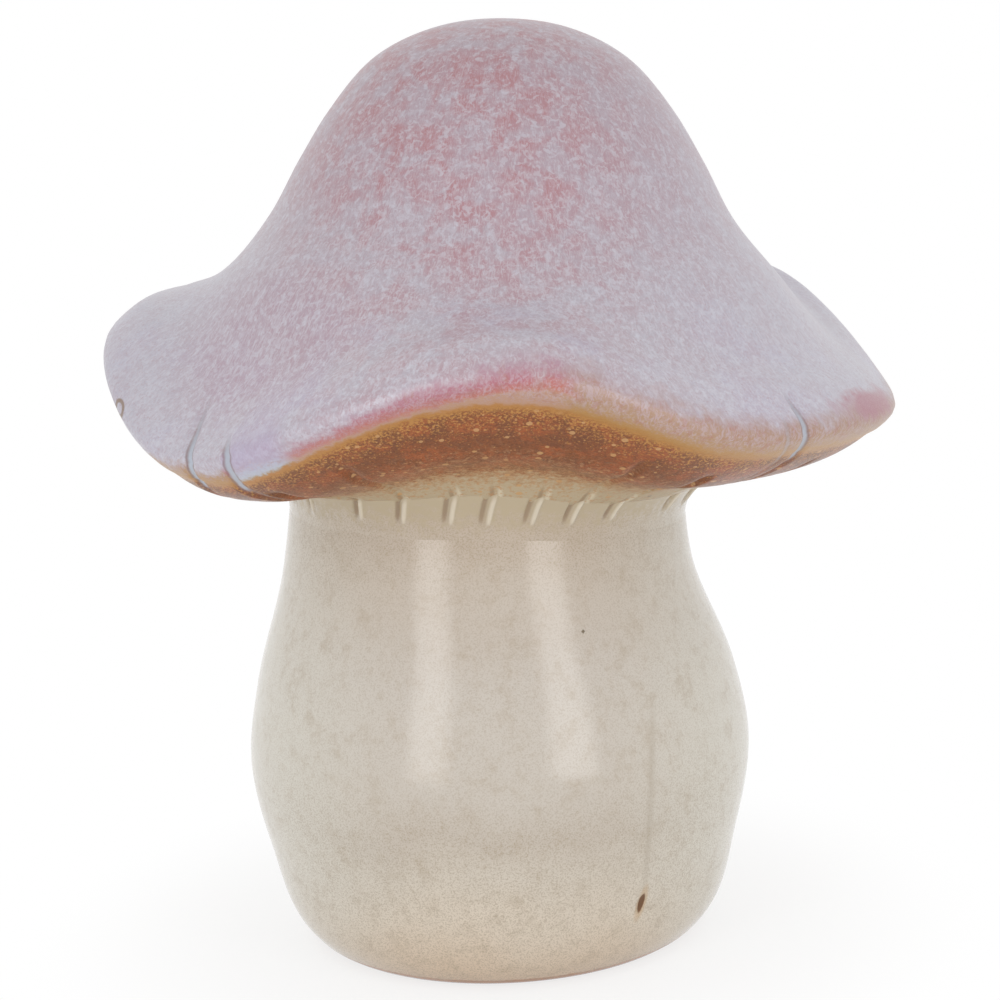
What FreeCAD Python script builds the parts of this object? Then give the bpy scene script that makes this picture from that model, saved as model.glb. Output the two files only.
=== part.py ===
import FreeCAD, Part
import math
import os

from FreeCAD import Placement, Rotation, Vector

# Ceramic mushroom ornament: a hollow wavy cap luted with clay slip on a hollow pot-bellied stem.
# Lengths are millimetres. The origin is on the table in the middle of the foot and the front is -Y.
# An azimuth is measured from the front towards +X.

# Stem, a slip casting trimmed at the top to take the cap
stem_height = 62.7
foot_radius = 22.0
heel_radius = 28.8
heel_height = 2.2
belly_radius = 34.9
neck_radius = 26.9
stem_wall = 4.4
floor_thickness = 4.6
vent_diameter = 3.0
vent_distance = 9.0

# Heights and radii of the stem's wall, as shares of the stem's height and of the belly's radius
wall_height_shares = (0.22, 0.42, 0.58, 0.82)
wall_radius_shares = (0.943, 1.0, 0.953, 0.813)

# Foot edge: where the flat turns up towards the heel, as shares of the step from foot to heel
foot_turn_radius_share = 0.8
foot_turn_height_share = 0.34

# Cap, a slip casting with a flat seat under it
cap_height = 62.3
cap_radius = 54.0
cap_wall = 4.6
rim_height = 16.2
rim_thickness = 7.3
seat_inset = 0.45
cap_shift = 1.7
hole_margin = 1.5
cap_tilt_deg = 3.0

# Crown and flank from the top down: radius as a share of the cap's radius,
# height as a share of the cap's height, and how much of the rim's wave the place takes
crown_shares = (
    (0.0, 1.0, 0.0),
    (0.16, 0.983, 0.0),
    (0.31, 0.92, 0.0),
    (0.43, 0.802, 0.0),
    (0.5, 0.703, 0.0),
    (0.576, 0.582, 0.0),
    (0.7, 0.457, 0.03),
    (0.82, 0.373, 0.67),
)
# Rolled rim: radius as a share of the cap's radius, height over or under the
# middle of the rim as a share of its thickness; the rim takes the whole wave
rim_shares = ((0.93, 0.5), (0.99, 0.0), (0.926, -0.5))
# Underside: the way in from the rim to the seat, and the height, as shares of those
# of the rim's lower side, and how much of the wave the place takes
underside_shares = ((0.66, 0.56, 0.65), (0.36, 0.38, 0.42))

# Wave of the rim: three hanging lobes with a shorter ripple over them
lobe_count = 3
lobe_lift = 6.3
lobe_azimuth_deg = 7.0
ripple_count = 5
ripple_lift = 2.2
ripple_azimuth_deg = -6.5
# In front the rim is pressed down again between two lobes
press_depth = 3.4
press_azimuth_deg = 8.0
press_half_angle_deg = 32.0

# Gills: V grooves drawn under the cap with a pointed tool, from the stem outwards
gill_count = 27
gill_width = 1.2
gill_depth = 0.7
gill_start_gap = 1.0
gill_azimuth_deg = 2.0
gill_wander_deg = 2.0

# Slip joint: the layer of clay slip between stem and cap, smoothed into the corner outside
slip_thickness = 0.8
slip_skirt_drop = 2.4
slip_skirt_lift = 1.8
slip_skirt_width = 2.2

# Poles round the cap's surface, how far cutting shapes run past what they cut, and the height
# under which an edge belongs to the seat
pole_count = 30
overrun = 2.0
seat_tolerance = 0.01


def axis_solid(points, curves=()):
    """Solid turned on the Z axis from radius and height points; curves replace the straight runs that they span."""
    edges = []
    for start, end in zip(points, points[1:] + points[:1]):
        spanned = [c for c in curves if c.StartPoint.isEqual(start, 1e-9) and c.EndPoint.isEqual(end, 1e-9)]
        edges.append(spanned[0].toShape() if spanned else Part.LineSegment(start, end).toShape())
    outline = Part.Face(Part.Wire(edges))
    return outline.revolve(Vector(0, 0, 0), Vector(0, 0, 1), 360)


def profile_point(radius, height):
    """Point of a turned outline."""
    return Vector(radius, 0, height)


def cap_frame():
    """Place of the cap's seat: on the stem, a little off its axis and tipped to one side."""
    return Placement(Vector(cap_shift, 0, stem_height), Rotation(Vector(0, 1, 0), cap_tilt_deg))


def stem_wall_curve():
    """Meridian of the stem's outer wall, from heel to neck."""
    points = [profile_point(heel_radius, heel_height)]
    for height_share, radius_share in zip(wall_height_shares, wall_radius_shares):
        points.append(profile_point(radius_share * belly_radius, height_share * stem_height))
    points.append(profile_point(neck_radius, stem_height))
    curve = Part.BSplineCurve()
    curve.interpolate(points)
    return curve


def above_seat(gap):
    """Block that fills everything from a gap under the cap's seat upwards."""
    reach = 2 * cap_radius
    block = Part.makeBox(2 * reach, 2 * reach, cap_height + gap, Vector(-reach, -reach, -gap))
    block.Placement = cap_frame()
    return block


def stem_blank():
    """Turned outer form of the stem, run on past the seat."""
    curve = stem_wall_curve()
    foot_step = heel_radius - foot_radius
    turn = profile_point(
        foot_radius + foot_turn_radius_share * foot_step,
        foot_turn_height_share * heel_height,
    )
    top = stem_height + overrun
    points = [
        profile_point(0, 0),
        profile_point(foot_radius, 0),
        turn,
        curve.StartPoint,
        curve.EndPoint,
        profile_point(neck_radius, top),
        profile_point(0, top),
    ]
    return axis_solid(points, [curve])


def stem_cavity():
    """Hollow that the poured-out slip leaves in the stem, open at the neck."""
    belly_height = wall_height_shares[1] * stem_height
    bore = neck_radius - stem_wall
    points = [
        profile_point(0, floor_thickness),
        profile_point(heel_radius - stem_wall, floor_thickness),
        profile_point(belly_radius - stem_wall, belly_height),
        profile_point(bore, stem_height - slip_skirt_drop),
        profile_point(bore, stem_height + 2 * overrun),
        profile_point(0, stem_height + 2 * overrun),
    ]
    return axis_solid(points)


def stem():
    """Hollow stem with a closed floor, a firing vent in it and the top trimmed to the cap's tilt."""
    vent = Part.makeCylinder(
        vent_diameter / 2,
        floor_thickness + 2 * overrun,
        Vector(0, vent_distance, -overrun),
    )
    return stem_blank().cut([stem_cavity(), vent, above_seat(slip_thickness)])


def gill_pitch():
    """Angle from one gill to the next."""
    return 2 * math.pi / gill_count


def rim_wave(azimuth, gain=lambda count: 1.0):
    """Lift of the rim at an azimuth; gain makes up for what a curve loses against its poles."""
    lobes = lobe_lift * gain(lobe_count) * math.cos(lobe_count * (azimuth - math.radians(lobe_azimuth_deg)))
    ripple = ripple_lift * gain(ripple_count) * math.cos(ripple_count * (azimuth - math.radians(ripple_azimuth_deg)))
    turn = math.remainder(azimuth - math.radians(press_azimuth_deg), 2 * math.pi)
    press = press_depth * math.exp(-((turn / math.radians(press_half_angle_deg)) ** 4))
    return lobes + ripple - press


def pole_gain(count):
    """How much further out the poles of a closed cubic curve lie than a wave of so many turns."""
    return 3 / (2 + math.cos(2 * math.pi * count / pole_count))


def seat_radius():
    """Radius of the flat under the cap, a little less than the stem's neck."""
    return neck_radius - seat_inset


def underside_points():
    """Stations of the cap's underside, from the rim's lower side inwards, written as in the meridian."""
    radius_share, thickness_share = rim_shares[-1]
    low = Vector(radius_share * cap_radius, rim_height + thickness_share * rim_thickness, cap_radius)
    points = [low]
    for out_share, height_share, wave_share in underside_shares:
        radius = seat_radius() + out_share * (low.x - seat_radius())
        points.append(Vector(radius, height_share * low.y, wave_share * cap_radius))
    return points


def cap_meridian():
    """Meridian of the cap, from the crown over the rim to the seat.

    X is the radius, Y the height over the seat and Z the part of the rim's wave, times the cap's radius.
    """
    points = [Vector(r * cap_radius, h * cap_height, w * cap_radius) for r, h, w in crown_shares]
    for radius_share, thickness_share in rim_shares:
        height = rim_height + thickness_share * rim_thickness
        points.append(Vector(radius_share * cap_radius, height, cap_radius))
    points = points[:-1] + underside_points() + [Vector(seat_radius(), 0, 0)]
    # The curve is spaced by its length in the plane of radius and height.
    lengths = [math.hypot(b.x - a.x, b.y - a.y) for a, b in zip(points, points[1:])]
    spacing = [sum(lengths[:count]) for count in range(len(points))]
    inward = (points[-1] - points[-2]) / lengths[-1]
    curve = Part.BSplineCurve()
    curve.interpolate(
        Points=points,
        Parameters=spacing,
        InitialTangent=Vector(1, 0, 0),
        FinalTangent=inward,
        Scale=False,
    )
    return curve


def cap_surface(meridian):
    """Closed surface of the cap: its meridian carried round by the wave, from a place between two gills."""
    between_gills = math.radians(gill_azimuth_deg) + gill_pitch() / 2
    poles = []
    for step in range(pole_count):
        azimuth = between_gills + 2 * math.pi * step / pole_count
        wave = rim_wave(azimuth, pole_gain)
        out = Vector(math.sin(azimuth), -math.cos(azimuth), 0) * pole_gain(1)
        poles.append([out * p.x + Vector(0, 0, p.y + wave * p.z / cap_radius) for p in meridian.getPoles()])
    surface = Part.BSplineSurface()
    surface.buildFromPolesMultsKnots(
        poles,
        [1] * (pole_count + 1),
        meridian.getMultiplicities(),
        list(range(pole_count + 1)),
        meridian.getKnots(),
        True,
        False,
        3,
        meridian.Degree,
    )
    return surface


def cap_blank():
    """Solid cap: top and underside in one sector for each lobe, and the flat seat."""
    meridian = cap_meridian()
    surface = cap_surface(meridian)
    nose_share, _ = rim_shares[1]
    nose = meridian.parameter(Vector(nose_share * cap_radius, rim_height, cap_radius))
    sector = pole_count / lobe_count
    skins = []
    for step in range(lobe_count):
        near, far = sector * step, sector * (step + 1)
        skins.append(surface.toShape(near, far, meridian.FirstParameter, nose))
        skins.append(surface.toShape(near, far, nose, meridian.LastParameter))
    seat_edges = [e for skin in skins[1::2] for e in skin.Edges if e.BoundBox.ZMax < seat_tolerance]
    seat = Part.Face(Part.Wire(Part.sortEdges(seat_edges)[0]))
    shell = Part.Shell(skins + [seat])
    shell.sewShape()
    return Part.Solid(shell)


def cap_cavity():
    """Hollow of the cap in straight runs, one wall inside the crown and flank, and the pouring hole in the seat."""
    meridian = cap_meridian()
    hole = neck_radius - stem_wall - cap_shift - hole_margin
    points = [profile_point(0, cap_height - cap_wall)]
    for radius_share, height_share, _ in crown_shares[2:7]:
        on_skin = Vector(radius_share * cap_radius, height_share * cap_height, 0)
        tangent = meridian.tangent(meridian.parameter(on_skin))[0]
        inward = Vector(tangent.y, -tangent.x, 0).normalize()
        inside = on_skin + inward * cap_wall
        points.append(profile_point(inside.x, inside.y))
    points.append(profile_point(hole, rim_height - rim_thickness / 2))
    points.append(profile_point(hole, -overrun))
    points.append(profile_point(0, -overrun))
    return axis_solid(points)


def triangle_face(corners):
    """Plane face on three corners."""
    return Part.Face(Part.makePolygon(corners + corners[:1]))


def gill_groove(azimuth):
    """Cutting shape of one gill: a V drawn in straight strokes along the underside, from the stem to the rim."""
    wave = rim_wave(azimuth)
    out = Vector(math.sin(azimuth), -math.cos(azimuth), 0)
    across = Vector(math.cos(azimuth), math.sin(azimuth), 0)
    below = Vector(0, 0, -gill_depth)
    meridian = cap_meridian()
    start = meridian.value(meridian.parameterAtDistance(-gill_start_gap, meridian.LastParameter))
    strokes = [start] + underside_points()[::-1]
    # The V stands one groove's depth out of the clay, where it is twice as wide as the groove.
    corners = [below - across * gill_width, below + across * gill_width, -below]
    sections = []
    for p in strokes:
        on_skin = out * p.x + Vector(0, 0, p.y + wave * p.z / cap_radius)
        sections.append([on_skin + corner for corner in corners])
    faces = [triangle_face(sections[0]), triangle_face(sections[-1])]
    for near, far in zip(sections, sections[1:]):
        for i, j in ((0, 1), (1, 2), (2, 0)):
            faces.append(Part.Face(Part.makePolygon([near[i], near[j], far[j], far[i], near[i]])))
    shell = Part.Shell(faces)
    shell.sewShape()
    return Part.Solid(shell)


def gill_grooves():
    """All gills, evenly set out with a small wander of the hand."""
    first = math.radians(gill_azimuth_deg)
    wander = math.radians(gill_wander_deg)
    return [gill_groove(first + step * gill_pitch() + wander * math.sin(step * step)) for step in range(gill_count)]


def cap(blank):
    """Hollow cap with its gills, set on the stem."""
    body = blank.cut([cap_cavity()] + gill_grooves())
    body.Placement = cap_frame()
    return body


def slip_joint(stem_body, blank):
    """Ring of slip between the trimmed stem and the cap's seat, with a skirt that fills the corner outside."""
    bore = neck_radius - stem_wall
    low = stem_height - slip_skirt_drop
    high = stem_height + slip_skirt_lift
    points = [
        profile_point(bore, low),
        profile_point(neck_radius, low),
        profile_point(neck_radius + slip_skirt_width, high),
        profile_point(bore, high),
    ]
    seated = blank.copy()
    seated.Placement = cap_frame()
    return axis_solid(points).cut([stem_body, seated])


def save(name, shape):
    """Write one piece and print what it is."""
    solids = shape.Solids
    print(name, "solids", len(solids), "valid", shape.isValid(), "volume", round(shape.Volume), shape.BoundBox)
    (solids[0] if len(solids) == 1 else shape).exportStep(os.path.join("parts", name + ".step"))


os.makedirs("parts", exist_ok=True)
stem_body = stem()
clay_cap = cap_blank()
save("stem", stem_body)
save("cap", cap(clay_cap))
save("slip_joint", slip_joint(stem_body, clay_cap))
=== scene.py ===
import math

import bmesh
import bpy
from mathutils import Matrix, Vector, geometry, kdtree, noise


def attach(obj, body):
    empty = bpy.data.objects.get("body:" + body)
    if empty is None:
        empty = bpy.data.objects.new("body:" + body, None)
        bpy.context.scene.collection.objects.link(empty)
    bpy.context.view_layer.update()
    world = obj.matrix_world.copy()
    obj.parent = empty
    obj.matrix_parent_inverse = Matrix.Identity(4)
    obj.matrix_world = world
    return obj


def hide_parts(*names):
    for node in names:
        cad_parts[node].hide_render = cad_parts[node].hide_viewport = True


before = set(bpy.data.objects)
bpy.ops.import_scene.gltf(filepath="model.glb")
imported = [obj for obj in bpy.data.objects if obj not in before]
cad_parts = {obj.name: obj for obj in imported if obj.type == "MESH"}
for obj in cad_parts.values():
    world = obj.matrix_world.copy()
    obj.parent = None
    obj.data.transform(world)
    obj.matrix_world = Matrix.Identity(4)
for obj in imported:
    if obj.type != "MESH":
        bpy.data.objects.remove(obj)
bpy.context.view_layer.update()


# Cap: slip-cast stoneware, hollow, its thick rolled rim swinging down into three lobes.
# A pointed tool drew the gills outwards from the stem, and on the low lobes some run on over the
# rim. The lilac glaze ends on the rim's lower side and leaves a brown one bare underneath.
def smooth_run(stations, spacing):
    """Points about a spacing apart on a smooth curve through stations of radius, height and a third value."""
    lengths = [(b - a).xy.length for a, b in zip(stations, stations[1:])]
    runs = [(b - a) / length for a, b, length in zip(stations, stations[1:], lengths)]
    slopes = [Vector((1, 0, 0))]
    for i in range(1, len(runs)):
        slopes.append((runs[i - 1] * lengths[i] + runs[i] * lengths[i - 1]) / (lengths[i - 1] + lengths[i]))
    slopes.append(runs[-1])
    points = [stations[0]]
    for i, length in enumerate(lengths):
        handles = stations[i] + slopes[i] * length / 3, stations[i + 1] - slopes[i + 1] * length / 3
        count = 2 + int(length / spacing)
        points += geometry.interpolate_bezier(stations[i], *handles, stations[i + 1], count)[1:]
    return points


def turned(points, steps, closed=False):
    """A mesh turned on the Z axis from points of radius and height in millimetres."""
    bm = bmesh.new()
    verts = [bm.verts.new((p[0] / 1000, 0, p[1] / 1000)) for p in points]
    edges = [bm.edges.new(pair) for pair in zip(verts, verts[1:] + (verts[:1] if closed else []))]
    bmesh.ops.spin(
        bm, geom=verts + edges, axis=(0, 0, 1), cent=(0, 0, 0), steps=steps, angle=2 * math.pi, use_merge=True
    )
    bmesh.ops.remove_doubles(bm, verts=bm.verts, dist=1e-6)
    bmesh.ops.recalc_face_normals(bm, faces=bm.faces)
    for face in bm.faces:
        face.smooth = True
    return bm


def between(places, value):
    """Straight-line value between listed places."""
    for (a, low), (b, high) in zip(places, places[1:]):
        if value <= b:
            return low + (high - low) * max(0, value - a) / (b - a)
    return places[-1][1]


def ease(value):
    """Soft step from 0 to 1."""
    value = min(max(value, 0), 1)
    return value * value * (3 - 2 * value)


def cap_wave(azimuth):
    """How far the rim stands over its mean height, in millimetres."""
    lobes = 6.3 * math.cos(3 * (azimuth - math.radians(7)))
    ripple = 2.2 * math.cos(5 * (azimuth + math.radians(6.5)))
    turn = math.degrees(math.remainder(azimuth - math.radians(8), 2 * math.pi))
    return lobes + ripple - 3.4 * math.exp(-((turn / 32) ** 4))


# Each groove: azimuth in degrees, how far it runs up over the nose of the rim, half width, depth and
# the degrees it drifts for each millimetre over the nose and under it. The last four run over the rim.
cap_grooves = [(a, -9, 0.8, 0.6, 0, 0) for a in (-37, -24, -11, -1.3, 10.2, 21, 33)]
cap_grooves += [(a, -7, 0.8, 0.6, 0, 0) for a in (-82, -69, -57)]
cap_grooves += [(56 + 13.4 * k, -7, 0.8, 0.6, 0, 0) for k in range(16)]
cap_grooves += [(-45.2, 10, 0.9, 0.45, -0.6, 0.4), (-38, 4.5, 0.85, 0.4, -0.5, 0.3)]
cap_grooves += [(39.5, 4, 0.6, 0.12, 0.15, -0.6), (43, 7.5, 0.8, 0.4, 0.15, -0.6)]


def groove_at(azimuth, radius, along):
    """Depth of the groove at a place under or on the rim. Glaze fills it where the rim is high."""
    depth = 0
    for place, reach, half, deep, over, under in cap_grooves:
        drift = over * max(along, 0) + under * min(max(along, -6), 0)
        turn = math.remainder(azimuth - math.radians(place + drift), 2 * math.pi)
        across = abs(turn) * radius / half
        if across < 1:
            depth = max(depth, deep * (1 - across ** 1.5) * ease((reach - along) / 3))
    open_share = ease((3 - cap_wave(azimuth)) / 5)
    return depth * (0.15 + 0.85 * open_share) * ease((along + 29.5) / 4)


def gill_ridge(azimuth, radius):
    """The clay that the tool threw up beside each gill's inner end: 1 on the ridge, -1 in the valley. The cap
    and the slip joint paint a highlight where it is 1 and shade where it is -1.
    """
    for place, reach, *others in cap_grooves:
        beside = math.remainder(azimuth - math.radians(place), 2 * math.pi) * radius
        if reach < 0 and abs(beside) < 1:
            return math.sin(math.pi * beside)
    return 0


# The seat that the cap stands on: its height and sideways shift in millimetres, and how far it tips
seat_height, seat_shift, seat_tilt = 62.7, 1.7, math.radians(3)
cap_place = Matrix.Translation((seat_shift / 1000, 0, seat_height / 1000)) @ Matrix.Rotation(seat_tilt, 4, "Y")
cap_stations = [
    Vector(s)
    for s in (
        (0, 62.25, 0), (8.6, 61.2, 0), (16.7, 57.3, 0), (23.2, 50, 0), (27, 43.8, 0), (31.1, 36.3, 0),
        (37.8, 28.5, 0.03), (44.3, 23.2, 0.67), (50.2, 19.85, 1), (53.4, 16.2, 1), (50, 12.6, 1),
        (42, 7, 0.65), (34.9, 4.8, 0.42), (26.4, 0, 0),
    )
]
cap_profile = smooth_run(cap_stations, 1)
travel = [0]
for a, b in zip(cap_profile, cap_profile[1:]):
    travel.append(travel[-1] + (b - a).xy.length)
nose = travel[max(range(len(cap_profile)), key=lambda i: cap_profile[i].x)]
finder = kdtree.KDTree(len(cap_profile))
for i, p in enumerate(cap_profile):
    finder.insert((p.x, p.y, 0), i)
finder.balance()

cap_bm = turned(cap_profile + [Vector((0, 0, 0))], 630)
cap_values = ("glaze", "along", "warm", "lift", "spread", "gill", "groove")
layer = {name: cap_bm.verts.layers.float.new(name) for name in cap_values}
flow_layer = cap_bm.verts.layers.float_vector.new("flow")
# Where the glaze ends, from the nose of the rim, and how warm its fringe fired, by azimuth in degrees
edge_places = (
    (-180, -5), (-120, -4), (-90, -6), (-78, -6), (-64, -5), (-54, -3.8), (-46, -3.4), (-40, -5),
    (-30, -5.2), (-15, -4.6), (0, -5), (10, -4.8), (25, -4.4), (40, -4.4), (58, -4.2), (74, -3.4),
    (90, -3.6), (130, -4.5), (180, -5),
)
warm_places = (
    (-180, 0.6), (-110, 0.8), (-60, 1), (-39.4, 0.8), (-39, -0.6), (-33, -0.6), (-28.5, 0), (-8, 0.1),
    (6, 0.25), (11, 0.9), (45, 1.1), (60, 0.9), (80, 0.8), (94, 0.9), (180, 0.6),
)
# How far the red line lifts off the glaze's edge, in millimetres by azimuth in degrees
lift_places = ((-180, 0), (-14, 0), (-6, 0.5), (1, 2), (6, 2.8), (10, 1.8), (15, 0), (180, 0))
# How far the fringe spreads up the glaze, in millimetres by azimuth in degrees
spread_places = (
    (-180, 5), (-110, 5), (-64, 2.6), (-39, 3), (-22, 3.2), (-13, 4.3), (-4, 6.5),
    (6, 8.5), (14, 7), (60, 6), (90, 5), (180, 5),
)
# The surface coordinates that the glaze ran along: a circle of this radius, and a share of the slope
flow_radius, along_share = 46, 0.45
for v in cap_bm.verts:
    azimuth = math.atan2(v.co.x, -v.co.y)
    radius = v.co.xy.length * 1000
    i = finder.find((radius, v.co.z * 1000, 0))[1]
    on_top = i < len(cap_profile) and (radius > 20 or v.co.z > 0.01)
    along = nose - travel[i] if on_top else nose - travel[-1]
    degrees = math.degrees(azimuth)
    v[layer["along"]] = along
    v[layer["glaze"]] = along - between(edge_places, degrees)
    v[layer["warm"]] = between(warm_places, degrees)
    v[layer["lift"]] = between(lift_places, degrees)
    v[layer["spread"]] = between(spread_places, degrees)
    v[layer["gill"]] = gill_ridge(azimuth, radius) * ease((-24 - along) / 4) if on_top else 0
    v[layer["groove"]] = groove_at(azimuth, radius, along) if along < 14 and on_top else 0
    v[flow_layer] = (flow_radius * math.sin(azimuth), flow_radius * math.cos(azimuth), along_share * along)
    v.co.z += cap_wave(azimuth) * cap_profile[i].z / 1000 if on_top else 0
cap_bm.normal_update()
for v in cap_bm.verts:
    if v[layer["along"]] > nose - travel[-1]:
        bare = 0.2 * (1 - ease((v[layer["glaze"]] + 0.4) / 0.9))
        hand = 0.14 * (0.6 + noise.noise(v.co * 85) * 0.6)
        v.co -= v.normal * (v[layer["groove"]] + bare + max(hand, 0)) / 1000
bmesh.ops.transform(cap_bm, matrix=cap_place, verts=cap_bm.verts)
cap_mesh = bpy.data.meshes.new("cap_glazed")
cap_bm.to_mesh(cap_mesh)
cap_bm.free()
cap = bpy.data.objects.new("cap_glazed", cap_mesh)
bpy.context.collection.objects.link(cap)
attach(cap, "root")
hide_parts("cap")


def node(tree, kind, inputs=None, **options):
    """Adds a shader node; an input is a value or another node's output."""
    made = tree.nodes.new(kind)
    for name, value in options.items():
        setattr(made, name, value)
    for key, value in (inputs or {}).items():
        if isinstance(value, bpy.types.NodeSocket):
            tree.links.new(value, made.inputs[key])
        else:
            made.inputs[key].default_value = value
    return made


def stored(tree, name):
    """A value kept on the piece's vertices."""
    return node(tree, "ShaderNodeAttribute", attribute_name=name).outputs["Fac"]


def paint(red, green, blue):
    """Colour for a shader from display values of 0 to 255."""
    parts = [c / 255 for c in (red, green, blue)]
    return (*(c / 12.92 if c < 0.04045 else ((c + 0.055) / 1.055) ** 2.4 for c in parts), 1)


def blend(tree, factor, a, b):
    """Colour a turning into colour b."""
    return node(tree, "ShaderNodeMix", {0: factor, 6: a, 7: b}, data_type="RGBA").outputs[2]


def band(tree, value, low, high, start=0.0, end=1.0):
    """Soft step of a value from low to high, read as start to end."""
    sockets = {0: value, 1: low, 2: high, 3: start, 4: end}
    return node(tree, "ShaderNodeMapRange", sockets, interpolation_type="SMOOTHSTEP").outputs[0]


def maths(tree, operation, a, b=0.0):
    """One sum on two values."""
    return node(tree, "ShaderNodeMath", {0: a, 1: b}, operation=operation).outputs[0]


def grain(tree, vector, scale, detail=2.0, roughness=0.5, distortion=0.0):
    """Noise from 0 to 1."""
    sockets = {"Vector": vector, "Scale": scale, "Detail": detail, "Roughness": roughness}
    sockets["Distortion"] = distortion
    return node(tree, "ShaderNodeTexNoise", sockets).outputs["Fac"]


def in_millimetres(tree):
    """The piece's own coordinates in millimetres."""
    place = node(tree, "ShaderNodeTexCoord").outputs["Object"]
    return node(tree, "ShaderNodeVectorMath", {0: place, "Scale": 1000.0}, operation="SCALE").outputs[0]


def specks(tree, vector, scale, size, share):
    """Round specks: some cells of a scatter, each a dot of its own size."""
    cells = node(tree, "ShaderNodeTexVoronoi", {"Vector": vector, "Scale": scale})
    pick = node(tree, "ShaderNodeSeparateColor", {0: cells.outputs["Color"]})
    chosen = maths(tree, "LESS_THAN", pick.outputs[0], share)
    reach = maths(tree, "MULTIPLY", maths(tree, "ADD", pick.outputs[1], 0.35), size)
    dot = band(tree, maths(tree, "SUBTRACT", cells.outputs["Distance"], reach), 0.0, -0.06)
    return maths(tree, "MULTIPLY", dot, chosen)


def ramp(tree, value, low, high, stops):
    """Colours listed at places of a value."""
    factor = node(tree, "ShaderNodeMapRange", {0: value, 1: low, 2: high}).outputs[0]
    made = node(tree, "ShaderNodeValToRGB", {0: factor})
    elements = made.color_ramp.elements
    elements.remove(elements[1])
    for i, (place, colour) in enumerate(stops):
        share = (place - low) / (high - low)
        element = elements[0] if i == 0 else elements.new(share)
        element.position, element.color = share, paint(*colour)
    return made.outputs[0]


def away_from(tree, vector, azimuth, along, wide, high):
    """Distance from a place on the cap, 1 at the edge of a patch so wide and so high each way."""
    turn = math.radians(azimuth)
    centre = (flow_radius * math.sin(turn), flow_radius * math.cos(turn), along_share * along)
    offset = node(tree, "ShaderNodeVectorMath", {0: vector, 1: centre}, operation="SUBTRACT").outputs[0]
    size = (wide, wide, along_share * high)
    offset = node(tree, "ShaderNodeVectorMath", {0: offset, 1: size}, operation="DIVIDE").outputs[0]
    return node(tree, "ShaderNodeVectorMath", {0: offset}, operation="LENGTH").outputs["Value"]


def finish_material(tree, colour, roughness, height, depth):
    """Glazed surface: a colour, how rough it is and how far its height stands up in metres."""
    bump = node(tree, "ShaderNodeBump", {"Height": height, "Strength": 1.0, "Distance": depth}).outputs[0]
    sockets = {"Base Color": colour, "Roughness": roughness, "Normal": bump}
    glazed = node(tree, "ShaderNodeBsdfPrincipled", sockets)
    glazed.inputs["IOR"].default_value = 1.5
    node(tree, "ShaderNodeOutputMaterial", {"Surface": glazed.outputs[0]})


def seen_or_mirrored(tree):
    """1 where the camera looks at a surface, straight or in a reflection, and 0 where light falls on it."""
    path = node(tree, "ShaderNodeLightPath").outputs
    mirrored = maths(tree, "MAXIMUM", path["Is Glossy Ray"], path["Is Transmission Ray"])
    return maths(tree, "MAXIMUM", path["Is Camera Ray"], mirrored)


def new_material(name):
    """An empty node material."""
    material = bpy.data.materials.new(name)
    material.use_nodes = True
    material.node_tree.nodes.clear()
    return material


cap_glaze = new_material("cap_reactive_glaze")
t = cap_glaze.node_tree
spot = in_millimetres(t)
flow = node(t, "ShaderNodeAttribute", attribute_name="flow").outputs["Vector"]
along = stored(t, "along")
warm = stored(t, "warm")
lift = stored(t, "lift")
spread = stored(t, "spread")
gill = stored(t, "gill")
glaze = stored(t, "glaze")
axes = node(t, "ShaderNodeSeparateXYZ", {0: spot}).outputs
fine = grain(t, spot, 3.4, 3.0, 0.6)
medium = grain(t, spot, 0.8, 5.0, 0.68, 0.4)
coarse = grain(t, spot, 0.26, 6.0, 0.62, 0.4)
flakes = grain(t, spot, 1.2, 4.0, 0.6, 0.8)
threads = grain(t, flow, 1.9, 6.0, 0.68, 1.4)
# Lilac glaze: grey-lilac with rose clouds on the crown and pale threads that ran down the slope
lilac = blend(t, band(t, along, 40.0, 14.0), paint(173, 156, 166), paint(178, 171, 181))
haze = band(t, grain(t, spot, 0.09, 3.0, 0.5), 0.45, 0.65)
haze = maths(t, "MULTIPLY", haze, band(t, along, 24.0, 8.0, 0.0, 0.5))
lilac = blend(t, haze, lilac, paint(176, 166, 190))
# Paler towards the left and right edges as seen from the front: painted sheen.
painted_edge_sheen = band(t, maths(t, "ABSOLUTE", maths(t, "ADD", axes["X"], 2.0)), 16.0, 44.0, 0.0, 0.55)
lilac = blend(t, painted_edge_sheen, lilac, paint(190, 190, 203))
middle = band(t, maths(t, "ABSOLUTE", maths(t, "ADD", axes["X"], 2.0)), 27.0, 8.0, 0.3, 1.0)
crown = maths(t, "MULTIPLY", middle, band(t, along, 8.0, 44.0, 0.45, 1.0))
rose = maths(t, "MULTIPLY", band(t, coarse, 0.36, 0.64), crown)
lilac = blend(t, rose, lilac, paint(172, 122, 128))
flush = maths(t, "ADD", away_from(t, flow, -46, 15, 18, 9), maths(t, "MULTIPLY", coarse, 1.2))
lilac = blend(t, band(t, flush, 1.9, 1.0, 0.0, 0.5), lilac, paint(170, 138, 152))
lilac = blend(t, band(t, fine, 0.45, 0.7, 0.0, 0.45), lilac, paint(174, 138, 146))
pale = maths(t, "MULTIPLY", band(t, threads, 0.42, 0.7), band(t, along, 44.0, 12.0, 0.4, 0.65))
lilac = blend(t, pale, lilac, paint(204, 203, 212))
lilac = blend(t, band(t, medium, 0.48, 0.7, 0.0, 0.4), lilac, paint(199, 198, 208))
lilac = blend(t, band(t, flakes, 0.51, 0.62, 0.0, 0.45), lilac, paint(200, 199, 209))
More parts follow.
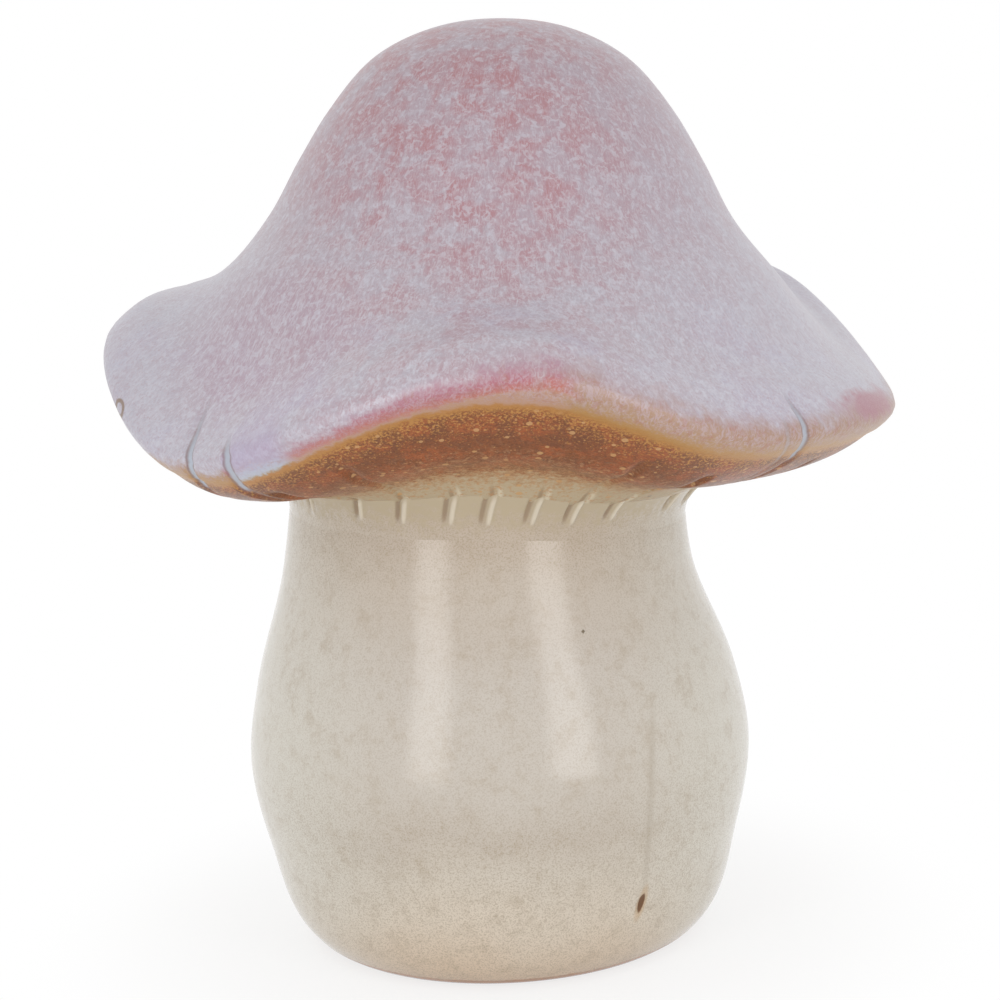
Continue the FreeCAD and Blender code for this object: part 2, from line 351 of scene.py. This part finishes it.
# Fringe and underside, by the distance from the glaze's edge
wander = maths(t, "MULTIPLY", maths(t, "SUBTRACT", grain(t, spot, 0.8, 6.0, 0.75), 0.5), 3.0)
edge = maths(t, "ADD", glaze, wander)
under_stops = (
    (-31, (190, 176, 150)), (-21, (186, 168, 138)), (-18.2, (176, 142, 104)), (-16, (158, 102, 56)),
    (-11, (140, 76, 28)), (-6, (126, 66, 22)), (-1.6, (122, 66, 22)),
)
over_edge = maths(t, "MAXIMUM", maths(t, "SUBTRACT", edge, 0.7), 0.0)
lifted = maths(t, "SUBTRACT", edge, maths(t, "MINIMUM", over_edge, lift))
frayed = maths(t, "SUBTRACT", grain(t, spot, 1.4, 4.0, 0.65), 0.5)
frayed = maths(t, "MULTIPLY", frayed, band(t, edge, -11.0, -17.0, 0.0, 14.0))
cool_fringe = ramp(t, maths(t, "ADD", lifted, frayed), -32.0, 12.0, under_stops + (
    (-0.5, (168, 112, 48)), (0.1, (178, 124, 64)), (0.7, (182, 144, 122)), (1.5, (184, 108, 94)),
    (3.0, (174, 110, 122)), (5.0, (174, 134, 148)), (7.5, (176, 152, 164)),
))
warm_fringe = ramp(t, maths(t, "ADD", edge, frayed), -32.0, 12.0, under_stops + (
    (-0.5, (166, 112, 48)), (0.6, (176, 130, 68)), (2.0, (172, 136, 96)), (4.5, (170, 138, 118)),
    (8.0, (172, 146, 148)),
))
broken = maths(t, "MULTIPLY", maths(t, "SUBTRACT", coarse, 0.5), 1.6)
warmth = band(t, maths(t, "ADD", warm, broken), 0.2, 0.8)
fringe = blend(t, warmth, cool_fringe, warm_fringe)
pool = ramp(t, edge, 0.0, 12.0, (
    (0.3, (168, 138, 96)), (0.9, (182, 186, 198)), (2.0, (180, 183, 202)), (3.6, (174, 158, 184)),
    (8, (176, 156, 176)),
))
pooled = band(t, warm, 0.1, -0.4)
fringe = blend(t, maths(t, "MULTIPLY", pooled, band(t, edge, 0.0, 0.6)), fringe, pool)
violet = maths(t, "MULTIPLY", pooled, band(t, edge, 12.0, 4.0, 0.0, 0.45))
lilac = blend(t, violet, lilac, paint(168, 152, 186))
milk = maths(t, "MULTIPLY", band(t, threads, 0.43, 0.62, 0.0, 0.55), band(t, edge, 0.8, 3.0))
fringe = blend(t, milk, fringe, paint(190, 172, 180))
milk = maths(t, "MULTIPLY", band(t, fine, 0.48, 0.62, 0.0, 0.35), band(t, edge, 0.4, 1.5))
fringe = blend(t, milk, fringe, paint(180, 158, 168))
rust = maths(t, "MULTIPLY", band(t, medium, 0.5, 0.64, 0.0, 0.4), band(t, edge, 0.9, 2.2))
fringe = blend(t, rust, fringe, paint(166, 108, 90))
below = band(t, edge, -0.2, -1.6)
on_brown = maths(t, "MULTIPLY", below, band(t, maths(t, "ADD", edge, frayed), -18.0, -15.0))
browns = (
    (coarse, 0.44, 0.6, 0.7, (166, 82, 28)), (medium, 0.46, 0.6, 0.45, (96, 48, 16)),
    (fine, 0.46, 0.62, 0.5, (88, 44, 16)),
)
for patches, low, high, most, brown in browns:
    share = maths(t, "MULTIPLY", band(t, patches, low, high, 0.0, most), on_brown)
    fringe = blend(t, share, fringe, paint(*brown))
# Painted highlight on one side of each gill's inner end and painted shade on the other.
fringe = blend(t, band(t, gill, 0.2, 0.9, 0.0, 0.6), fringe, paint(222, 212, 188))
fringe = blend(t, band(t, gill, -0.2, -0.9, 0.0, 0.6), fringe, paint(140, 108, 76))
climb = maths(t, "ADD", maths(t, "DIVIDE", edge, spread), broken)
colour = blend(t, band(t, climb, 0.65, 1.3), fringe, lilac)
flecks = maths(t, "ADD", grain(t, spot, 3.0, 3.0, 0.65), maths(t, "MULTIPLY", edge, 0.026))
flecks = maths(t, "MULTIPLY", band(t, flecks, 0.43, 0.55, 0.0, 0.85), band(t, edge, 0.3, -0.8))
colour = blend(t, flecks, colour, paint(186, 132, 62))
streaks = band(t, grain(t, spot, 1.6, 4.0, 0.6), 0.53, 0.62, 0.0, 0.7)
streaks = maths(t, "MULTIPLY", streaks, band(t, edge, -4.0, -14.0))
colour = blend(t, streaks, colour, paint(184, 140, 98))
cream = maths(t, "MULTIPLY", specks(t, spot, 0.8, 0.28, 0.4), band(t, edge, 0.0, -1.0, 0.0, 0.75))
colour = blend(t, cream, colour, paint(198, 152, 98))
cream = maths(t, "MULTIPLY", specks(t, spot, 1.7, 0.24, 0.45), band(t, edge, -0.5, -2.0, 0.0, 0.55))
colour = blend(t, cream, colour, paint(190, 142, 92))
pits = maths(t, "MULTIPLY", specks(t, spot, 0.3, 0.1, 0.3), band(t, edge, 0.0, -1.0))
colour = blend(t, pits, colour, paint(60, 30, 20))
# The blush on the right lobe, a burst blister on the left one, and the grooves: pale glaze pooled in them with
# a painted highlight, and painted shade along their sides
blush = maths(t, "ADD", away_from(t, flow, 65, 2.4, 9, 2.4), maths(t, "MULTIPLY", broken, -1.2))
colour = blend(t, band(t, blush, 1.4, 0.5, 0.0, 0.85), colour, paint(170, 112, 124))
blister = maths(t, "ABSOLUTE", maths(t, "SUBTRACT", away_from(t, flow, -66, 0.4, 1.1, 0.9), 1.0))
colour = blend(t, band(t, blister, 0.4, 0.15, 0.0, 0.8), colour, paint(132, 104, 76))
front = maths(t, "MULTIPLY", band(t, axes["Y"], 0.0, -5.0), band(t, glaze, -4.0, -1.5))
for place, reach, half, deep, over, under in cap_grooves[-4:]:
    turn = math.radians(place)
    sideways = (math.cos(turn), -math.sin(turn), 0)
    beside = node(t, "ShaderNodeVectorMath", {0: flow, 1: sideways}, operation="DOT_PRODUCT").outputs["Value"]
    above_nose = maths(t, "MAXIMUM", along, 0.0)
    below_nose = maths(t, "MINIMUM", maths(t, "MAXIMUM", along, -6.0), 0.0)
    drift_over = maths(t, "MULTIPLY", above_nose, flow_radius * math.radians(over))
    drift_under = maths(t, "MULTIPLY", below_nose, flow_radius * math.radians(under))
    beside = maths(t, "ABSOLUTE", maths(t, "SUBTRACT", beside, maths(t, "ADD", drift_over, drift_under)))
    shown = maths(t, "MULTIPLY", band(t, along, reach, 0.0, 0.0, min(1, 2.2 * deep)), front)
    beside = maths(t, "DIVIDE", beside, band(t, along, reach, 0.0, 0.4, 1.0))
    # Darker along each groove's sides: painted shade. Paler down its middle: pooled glaze and painted
    # highlight.
    line = maths(t, "MULTIPLY", band(t, beside, 0.85 * half, 0.6 * half, 0.0, 0.7), shown)
    colour = blend(t, line, colour, paint(126, 100, 96))
    pooled_glaze_and_highlight = maths(t, "MULTIPLY", band(t, beside, 0.6 * half, 0.2 * half, 0.0, 0.9), shown)
    colour = blend(t, pooled_glaze_and_highlight, colour, paint(182, 191, 204))
relief = maths(t, "ADD", maths(t, "MULTIPLY", fine, 0.6), maths(t, "MULTIPLY", threads, 0.4))
finish_material(t, colour, band(t, fine, 0.3, 0.8, 0.28, 0.42), relief, 0.00006)
cap_mesh.materials.append(cap_glaze)


# Stem: slip-cast stoneware, pot-bellied, glazed cream all over with a fine brown speckle.
# The two mould halves left a faint seam that ends in a pinhole burst near the foot, and the foot's
# edge was wiped to bare clay before the firing.
stem_stations = [
    Vector((r, h, 0))
    for r, h in (
        (27.4, 0.75), (28.75, 2.2), (32.85, 13.8), (34.85, 26.3), (33.2, 36.4), (28.35, 51.4), (26.9, 62.7),
    )
]
stem_profile = smooth_run([Vector((22, 0, 0))] + stem_stations, 0.42) + [Vector((26.9, 66, 0))]
stem_profile = [Vector((p.x, max(p.y, 0), 0)) for p in stem_profile]
stem_bm = turned([Vector((0, 0, 0))] + stem_profile, 400)
for v in stem_bm.verts:
    x, y, z = v.co * 1000
    if z > 0.4:
        lean = -0.6 * math.exp(-(((z - 50) / 10) ** 2))
        hand = 0.16 * (0.5 + 0.5 * noise.noise(v.co * 60))
        seam = 0.05 * math.exp(-(((x - 18 - 0.08 * (z - 12)) / 0.8) ** 2)) if y < 0 and 11 < z < 42 else 0
        across, up = x - 17.5 - 0.3 * (z - 10.5), z - 10.5
        pit = 0.6 * (1 - ease((across / 0.5) ** 2 + (up / 1.5) ** 2)) if y < 0 else 0
        out = Vector((x, y, 0)).normalized()
        v.co += (out * (seam - hand - pit) + Vector((lean, 0, 0))) / 1000
stem_geometry = stem_bm.verts[:] + stem_bm.edges[:] + stem_bm.faces[:]
seat = cap_place @ Vector((0, 0, -0.0004))
seat_normal = cap_place.to_3x3() @ Vector((0, 0, 1))
bmesh.ops.bisect_plane(stem_bm, geom=stem_geometry, plane_co=seat, plane_no=seat_normal, clear_outer=True)
bmesh.ops.holes_fill(stem_bm, edges=[e for e in stem_bm.edges if e.is_boundary], sides=0)
bmesh.ops.recalc_face_normals(stem_bm, faces=stem_bm.faces)
stem_mesh = bpy.data.meshes.new("stem_glazed")
stem_bm.to_mesh(stem_mesh)
stem_bm.free()
stem = bpy.data.objects.new("stem_glazed", stem_mesh)
bpy.context.collection.objects.link(stem)
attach(stem, "root")
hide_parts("stem")

stem_glaze = new_material("stem_cream_glaze")
t = stem_glaze.node_tree
spot = in_millimetres(t)
axes = node(t, "ShaderNodeSeparateXYZ", {0: spot}).outputs
cloud = grain(t, spot, 0.05, 3.0, 0.5)
mottle = grain(t, spot, 0.35, 8.0, 0.8)
grit = grain(t, spot, 5.0, 2.0, 0.6)
height = maths(t, "ADD", axes["Z"], maths(t, "MULTIPLY", maths(t, "SUBTRACT", cloud, 0.5), 14.0))
colour = ramp(t, height, 0.0, 66.0, (
    (1, (221, 200, 176)), (10, (222, 210, 193)), (17, (213, 204, 190)), (22, (200, 190, 177)),
    (29, (205, 197, 186)), (42, (207, 200, 190)), (54, (200, 189, 175)), (63, (193, 177, 158)),
))
# Lighter towards the left and right sides: painted light.
painted_light_side = maths(t, "ABSOLUTE", axes["X"])
colour = blend(t, band(t, painted_light_side, 11.0, 32.0, 0.0, 0.8), colour, paint(221, 218, 207))
colour = blend(t, band(t, mottle, 0.47, 0.68, 0.0, 0.45), colour, paint(180, 164, 142))
rough_band = maths(t, "ADD", band(t, height, 30.0, 22.0, 0.6, 1.0), band(t, height, 48.0, 60.0, 0.0, 0.4))
gritty = maths(t, "MULTIPLY", band(t, grit, 0.45, 0.65, 0.0, 0.5), rough_band)
colour = blend(t, gritty, colour, paint(164, 146, 122))
colour = blend(t, maths(t, "MULTIPLY", specks(t, spot, 2.6, 0.12, 0.3), 0.35), colour, paint(146, 124, 98))
front = band(t, axes["Y"], 0.0, -5.0)
off_seam = maths(t, "SUBTRACT", maths(t, "SUBTRACT", axes["X"], 17.0), maths(t, "MULTIPLY", axes["Z"], 0.08))
line = maths(t, "MULTIPLY", band(t, maths(t, "ABSOLUTE", off_seam), 0.8, 0.0, 0.0, 0.4), front)
seam_ends = maths(t, "MULTIPLY", band(t, axes["Z"], 10.0, 18.0), band(t, axes["Z"], 42.0, 30.0))
line = maths(t, "MULTIPLY", line, seam_ends)
colour = blend(t, line, colour, paint(176, 164, 146))
up = maths(t, "SUBTRACT", axes["Z"], 10.5)
across = maths(t, "SUBTRACT", maths(t, "SUBTRACT", axes["X"], 17.5), maths(t, "MULTIPLY", up, 0.3))
sideways = maths(t, "POWER", maths(t, "DIVIDE", maths(t, "ABSOLUTE", across), 0.38), 2.0)
upward = maths(t, "POWER", maths(t, "DIVIDE", maths(t, "ABSOLUTE", up), 1.4), 2.0)
spread = maths(t, "ADD", sideways, upward)
halo = maths(t, "MULTIPLY", band(t, spread, 5.0, 0.6, 0.0, 0.55), front)
colour = blend(t, halo, colour, paint(200, 166, 122))
colour = blend(t, maths(t, "MULTIPLY", band(t, spread, 1.2, 0.6), front), colour, paint(120, 82, 48))
across = maths(t, "ABSOLUTE", maths(t, "SUBTRACT", axes["X"], 11.4))
up = maths(t, "ABSOLUTE", maths(t, "SUBTRACT", axes["Z"], 47.2))
dot = maths(t, "ADD", across, up)
colour = blend(t, maths(t, "MULTIPLY", band(t, dot, 0.38, 0.15), front), colour, paint(120, 108, 88))
wiped = band(t, maths(t, "ADD", axes["Z"], mottle), 1.9, 1.5, 0.0, 0.9)
colour = blend(t, wiped, colour, paint(176, 122, 78))
finish_material(t, colour, band(t, mottle, 0.3, 0.8, 0.09, 0.16), mottle, 0.00002)
stem_mesh.materials.append(stem_glaze)


# Slip joint: the roll of liquid clay that luted the cap to the trimmed stem.
# A wet finger smoothed it into the corner outside, and the gill tool ran into it and threw up a
# ridge at each gill. It is glazed with the stem.
under = [p for p in cap_profile[len(cap_profile) // 2 :] if p.x < 45 and p.y < 12]
under_heights = sorted((p.x, p.y) for p in under)
under_shares = sorted((p.x, p.z) for p in under)
stem_radii = sorted((p.y, p.x) for p in stem_profile)
joint_steps, gill_end_radius = 14, 29
joint_bm = turned([(27, 60 + i) for i in range(joint_steps + 2)], 720, closed=True)
share_layer = joint_bm.verts.layers.float.new("share")
gill_layer = joint_bm.verts.layers.float.new("gill")
for v in joint_bm.verts:
    azimuth = math.atan2(v.co.x, -v.co.y)
    out = Vector((math.sin(azimuth), -math.cos(azimuth), 0))
    share = (v.co.z * 1000 - 60) / joint_steps
    rim_radius = 30.6 + 0.6 * noise.noise(out * 4.3 + Vector((5, 0, 0)))
    corner_height = seat_height - math.tan(seat_tilt) * (27 * out.x - seat_shift)
    corner = Vector((27.15 * out.x - 0.2, 27.15 * out.y, corner_height))
    low_height = corner.z - 4.8 + 0.6 * noise.noise(out * 3.1)
    low = out * (between(stem_radii, low_height) - 0.3) + Vector((-0.25, 0, low_height))
    lift = between(under_heights, rim_radius) + cap_wave(azimuth) * between(under_shares, rim_radius)
    high = (cap_place @ ((out * rim_radius + Vector((0, 0, lift + 1.3))) / 1000)) * 1000
    if share > 1:
        v.co = (corner - out * 1.5) / 1000
        continue
    place = low * (1 - share) ** 2 + corner * 2 * share * (1 - share) + high * share ** 2
    ridge = gill_ridge(azimuth, gill_end_radius) * ease((share - 0.3) / 0.2) * ease((0.9 - share) / 0.2)
    v[share_layer], v[gill_layer] = share, ridge
    v.co = (place + (out * 0.25 - Vector((0, 0, 0.25))) * ridge) / 1000
bmesh.ops.recalc_face_normals(joint_bm, faces=joint_bm.faces)
joint_mesh = bpy.data.meshes.new("slip_joint_glazed")
joint_bm.to_mesh(joint_mesh)
joint_bm.free()
joint = bpy.data.objects.new("slip_joint_glazed", joint_mesh)
bpy.context.collection.objects.link(joint)
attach(joint, "root")
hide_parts("slip_joint")

joint_glaze = stem_glaze.copy()
joint_glaze.name = "joint_glaze"
t = joint_glaze.node_tree
glazed = t.nodes["Principled BSDF"]
colour = glazed.inputs["Base Color"].links[0].from_socket
share = stored(t, "share")
gill = stored(t, "gill")
smear = maths(t, "SUBTRACT", grain(t, in_millimetres(t), 0.9, 4.0, 0.65), 0.5)
smear = maths(t, "ADD", share, smear)
colour = blend(t, band(t, smear, 0.2, 0.7), colour, paint(186, 170, 142))
# Painted highlight on each gill ridge and painted shade in the valley beside it.
colour = blend(t, band(t, gill, 0.15, 0.9, 0.0, 0.7), colour, paint(224, 214, 194))
colour = blend(t, band(t, gill, -0.15, -0.9, 0.0, 0.7), colour, paint(146, 120, 92))
t.links.new(colour, glazed.inputs["Base Color"])
joint_mesh.materials.append(joint_glaze)


# Studio: a white sweep that stays white to the camera away from the mushroom and keeps its shadow.
# Two upright strip softboxes stand in front to the left and right, and the rest is even white light.
floor_bm = bmesh.new()
under_foot = Matrix.Translation((0, 0, -0.00005))
bmesh.ops.create_grid(floor_bm, x_segments=1, y_segments=1, size=1.5, matrix=under_foot)
floor_mesh = bpy.data.meshes.new("floor")
floor_bm.to_mesh(floor_mesh)
floor_bm.free()
floor = bpy.data.objects.new("floor", floor_mesh)
bpy.context.collection.objects.link(floor)
floor_paint = new_material("floor_white")
t = floor_paint.node_tree
seen = seen_or_mirrored(t)
away = node(t, "ShaderNodeVectorMath", {0: in_millimetres(t)}, operation="LENGTH").outputs["Value"]
white = node(t, "ShaderNodeEmission", {"Color": (1, 1, 1, 1), "Strength": 1.0}).outputs[0]
matt = node(t, "ShaderNodeBsdfDiffuse", {"Color": (0.93, 0.93, 0.93, 1)}).outputs[0]
share = maths(t, "MULTIPLY", seen, band(t, away, 30.0, 70.0, 0.78, 1.0))
both = node(t, "ShaderNodeMixShader", {0: share, 1: matt, 2: white}).outputs[0]
node(t, "ShaderNodeOutputMaterial", {"Surface": both})
floor_mesh.materials.append(floor_paint)

world = bpy.data.worlds.new("studio")
bpy.context.scene.world = world
world.use_nodes = True
world.node_tree.nodes.clear()
t = world.node_tree
seen = seen_or_mirrored(t)
way = node(t, "ShaderNodeSeparateXYZ", {0: node(t, "ShaderNodeTexCoord").outputs["Generated"]}).outputs["Y"]
lit = maths(t, "MULTIPLY", band(t, way, -0.9, 0.3, 0.4, 1.0), maths(t, "SUBTRACT", 1.0, seen))
sky = node(t, "ShaderNodeBackground", {"Color": (1, 1, 1, 1), "Strength": maths(t, "ADD", lit, seen)})
node(t, "ShaderNodeOutputWorld", {"Surface": sky.outputs[0]})

strip_height, strip_away, strip_glow = 0.172, 0.157, 2.65
for name, x, wide, lean in (("strip_left", -0.085, 0.054, 3), ("strip_right", 0.098, 0.056, 8)):
    strip = bpy.data.lights.new(name, "AREA")
    strip.shape = "RECTANGLE"
    strip.size, strip.size_y = wide, strip_height
    strip.energy = strip_glow * math.pi * wide * strip_height
    lamp = bpy.data.objects.new(name, strip)
    facing = Vector((-x, strip_away, 0)).to_track_quat("-Z", "Y").to_matrix().to_4x4()
    upright = Matrix.Rotation(math.radians(lean), 4, "Y")
    lamp.matrix_world = Matrix.Translation((x, -strip_away, 0.114)) @ upright @ facing
    lamp.visible_camera = False
    bpy.context.collection.objects.link(lamp)

camera_data = bpy.data.cameras.new("camera")
camera_data.sensor_width = 36
camera_data.lens = 81.6
camera_data.clip_start = 0.01
camera = bpy.data.objects.new("camera", camera_data)
tip, roll = math.radians(10.22), math.radians(2.72)
aim = Vector((0.00162, 0, 0.05985))
away = 0.3127
back = Vector((0, -math.cos(tip), math.sin(tip)))
right, rise = Vector((1, 0, 0)), Vector((0, math.sin(tip), math.cos(tip)))
turned_right = right * math.cos(roll) - rise * math.sin(roll)
turned_rise = right * math.sin(roll) + rise * math.cos(roll)
camera_axes = Matrix((turned_right, turned_rise, back)).transposed().to_4x4()
camera.matrix_world = Matrix.Translation(aim + back * away) @ camera_axes
bpy.context.collection.objects.link(camera)
bpy.context.scene.camera = camera
bpy.context.scene.view_settings.view_transform = "Standard"
